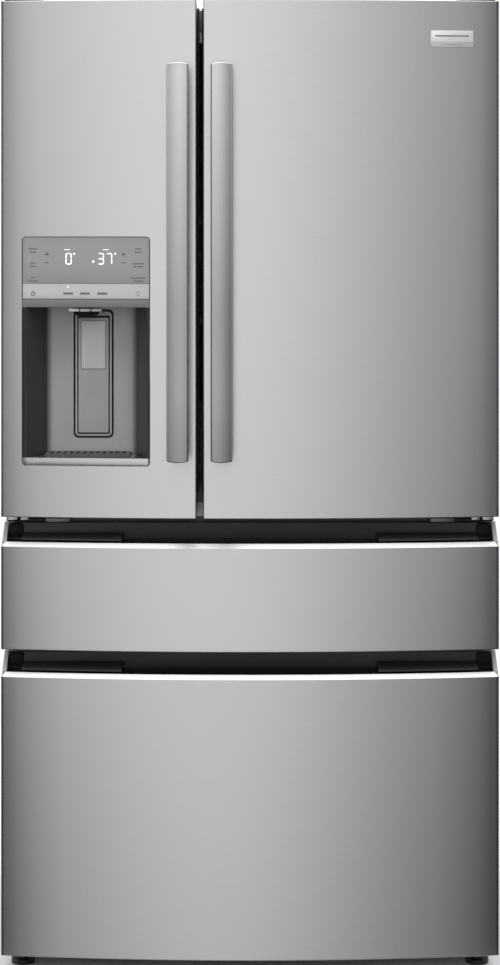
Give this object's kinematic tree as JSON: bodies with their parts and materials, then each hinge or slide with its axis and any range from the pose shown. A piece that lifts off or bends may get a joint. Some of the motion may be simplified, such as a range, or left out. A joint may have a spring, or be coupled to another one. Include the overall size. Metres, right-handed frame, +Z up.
{
  "type": "french door refrigerator",
  "caption": "Counter-depth refrigerator with two bowed French doors, an in-door ice and water dispenser, a middle drawer and a bottom freezer drawer.",
  "frame": {"origin": "floor level at the middle of the overall box", "axes": "+Z up, the doors and drawers face -Y, +X to the right seen from the front"},
  "size_m": [0.91, 0.785, 1.79],
  "materials": {
    "steel_front": "fine horizontal brushing, clear coated",
    "steel_handle": "brushed along its length",
    "painted_case": "textured grey paint",
    "rear_sheet": "plain galvanised and painted sheet",
    "foam": "rigid insulating foam",
    "liner_white": "moulded white plastic",
    "duct_plastic": "moulded pale grey plastic",
    "frame_black": "black dipped steel",
    "fan_plastic": "moulded grey plastic",
    "coil_aluminium": "plain aluminium tube and fins",
    "lamp_lens": "frosted lens",
    "shelf_pane": "toughened clear glass",
    "clear_bin": "clear moulded plastic",
    "zinc_steel": "zinc plated steel",
    "valve_plastic": "moulded plastic",
    "black_plastic": "fine textured black plastic",
    "cap_plastic": "grey plastic",
    "gasket_rubber": "soft dark grey gasket",
    "dispenser_grey": "satin metallic grey",
    "panel_glass": "smooth grey control panel",
    "badge_metal": "satin bright plate"
  },
  "bodies": {
    "cabinet": {"outer_case": "painted_case", "rear_panel": "rear_sheet", "cabinet_foam": "foam", "fresh_food_liner": "liner_white", "drawer_liners": "liner_white", "base_frame": "frame_black", "machine_cover": "rear_sheet", "compressor": "frame_black", "condenser_coil": "frame_black", "fan_shroud": "fan_plastic", "evaporator_coil": "coil_aluminium", "air_ducts": "duct_plastic", "led_lights": "lamp_lens", "shelf_frames": "duct_plastic", "shelf_glass": "shelf_pane", "ice_maker": "liner_white", "water_valve": "valve_plastic", "cord_gland": "black_plastic", "door_hinges": "frame_black", "hinge_covers": "painted_case", "fixed_slides": "zinc_steel"},
    "left_door": {"left_door_skin": "steel_front", "left_door_liner": "liner_white", "left_door_gasket": "gasket_rubber", "left_door_caps": "cap_plastic", "left_handle": "steel_handle", "left_door_bins": "clear_bin", "dispenser_housing": "dispenser_grey", "dispenser_panel": "panel_glass"},
    "mullion": {"mullion_bar": "black_plastic"},
    "paddle": {"dispenser_paddle": "dispenser_grey"},
    "tray": {"drip_tray": "dispenser_grey"},
    "right_door": {"right_door_skin": "steel_front", "right_door_liner": "liner_white", "right_door_gasket": "gasket_rubber", "right_door_caps": "cap_plastic", "right_handle": "steel_handle", "right_door_bins": "clear_bin", "badge_plate": "badge_metal"},
    "dairy_cover": {"dairy_lid": "clear_bin"},
    "middle_drawer": {"middle_drawer_front": "steel_front", "middle_drawer_core": "cap_plastic", "middle_drawer_grip": "black_plastic", "middle_drawer_gasket": "gasket_rubber", "middle_drawer_tub": "clear_bin"},
    "middle_slide": {"middle_slide_members": "zinc_steel"},
    "freezer_drawer": {"freezer_drawer_front": "steel_front", "freezer_drawer_core": "cap_plastic", "freezer_drawer_grip": "black_plastic", "freezer_drawer_gasket": "gasket_rubber", "freezer_drawer_tub": "clear_bin"},
    "freezer_slide": {"freezer_slide_members": "zinc_steel"},
    "basket": {"freezer_basket": "clear_bin"},
    "left_crisper": {"crisper_left": "clear_bin"},
    "right_crisper": {"crisper_right": "clear_bin"},
    "fan": {"condenser_fan": "fan_plastic"},
    "rollers": {"rear_rollers": "black_plastic"},
    "front_left_leg": {"left_leg": "black_plastic"},
    "front_right_leg": {"right_leg": "black_plastic"},
    "filter": {"water_filter": "valve_plastic"}
  },
  "joints": [
    {"name": "left_door_hinge", "type": "hinge", "parent": "cabinet", "child": "left_door", "pos_m": [-0.435, -0.2755, 0.836], "axis": [0, 0, -1], "range_deg": [0, 125]},
    {"name": "right_door_hinge", "type": "hinge", "parent": "cabinet", "child": "right_door", "pos_m": [0.435, -0.2755, 0.836], "axis": [0, 0, 1], "range_deg": [0, 125]},
    {"name": "mullion_fold", "type": "hinge", "parent": "left_door", "child": "mullion", "pos_m": [-0.125, -0.22, 0.886], "axis": [0, 0, -1], "range_deg": [0, 84]},
    {"name": "paddle_press", "type": "hinge", "parent": "left_door", "child": "paddle", "pos_m": [-0.289, -0.256, 1.196], "axis": [1, 0, 0], "range_deg": [0, 4.5], "stiffness_Nm_per_rad": 1.5},
    {"name": "drip_tray_slide", "type": "slide", "parent": "left_door", "child": "tray", "axis": [0, -1, 0], "range_m": [0, 0.05]},
    {"name": "dairy_lid_hinge", "type": "hinge", "parent": "right_door", "child": "dairy_cover", "pos_m": [0.2, -0.128, 1.672], "axis": [1, 0, 0], "range_deg": [0, 80]},
    {"name": "middle_drawer_slide", "type": "slide", "parent": "cabinet", "child": "middle_drawer", "axis": [0, -1, 0], "range_m": [0, 0.42]},
    {"name": "middle_slide_travel", "type": "slide", "parent": "cabinet", "child": "middle_slide", "axis": [0, -1, 0], "range_m": [0, 0.21]},
    {"name": "freezer_drawer_slide", "type": "slide", "parent": "cabinet", "child": "freezer_drawer", "axis": [0, -1, 0], "range_m": [0, 0.4]},
    {"name": "freezer_slide_travel", "type": "slide", "parent": "cabinet", "child": "freezer_slide", "axis": [0, -1, 0], "range_m": [0, 0.2]},
    {"name": "freezer_basket_slide", "type": "slide", "parent": "freezer_drawer", "child": "basket", "axis": [0, 1, 0], "range_m": [0, 0.15]},
    {"name": "crisper_left_slide", "type": "slide", "parent": "cabinet", "child": "left_crisper", "axis": [0, -1, 0], "range_m": [0, 0.05]},
    {"name": "crisper_right_slide", "type": "slide", "parent": "cabinet", "child": "right_crisper", "axis": [0, -1, 0], "range_m": [0, 0.05]},
    {"name": "condenser_fan_spin", "type": "hinge", "parent": "cabinet", "child": "fan", "pos_m": [-0.01, 0.29, 0.16], "axis": [1, 0, 0], "continuous": true},
    {"name": "rear_roller_spin", "type": "hinge", "parent": "cabinet", "child": "rollers", "pos_m": [0, 0.33, 0.02], "axis": [1, 0, 0], "continuous": true},
    {"name": "left_leg_turn", "type": "hinge", "parent": "cabinet", "child": "front_left_leg", "pos_m": [-0.422, -0.229, 0], "axis": [0, 0, 1], "continuous": true},
    {"name": "right_leg_turn", "type": "hinge", "parent": "cabinet", "child": "front_right_leg", "pos_m": [0.422, -0.229, 0], "axis": [0, 0, 1], "continuous": true},
    {"name": "water_filter_turn", "type": "hinge", "parent": "cabinet", "child": "filter", "pos_m": [-0.15, -0.07, 1.69], "axis": [0, 1, 0], "range_deg": [0, 90]}
  ],
  "couplings": [
    {"joint": "middle_slide_travel", "follows": "middle_drawer_slide", "ratio": 0.5},
    {"joint": "freezer_slide_travel", "follows": "freezer_drawer_slide", "ratio": 0.5}
  ]
}
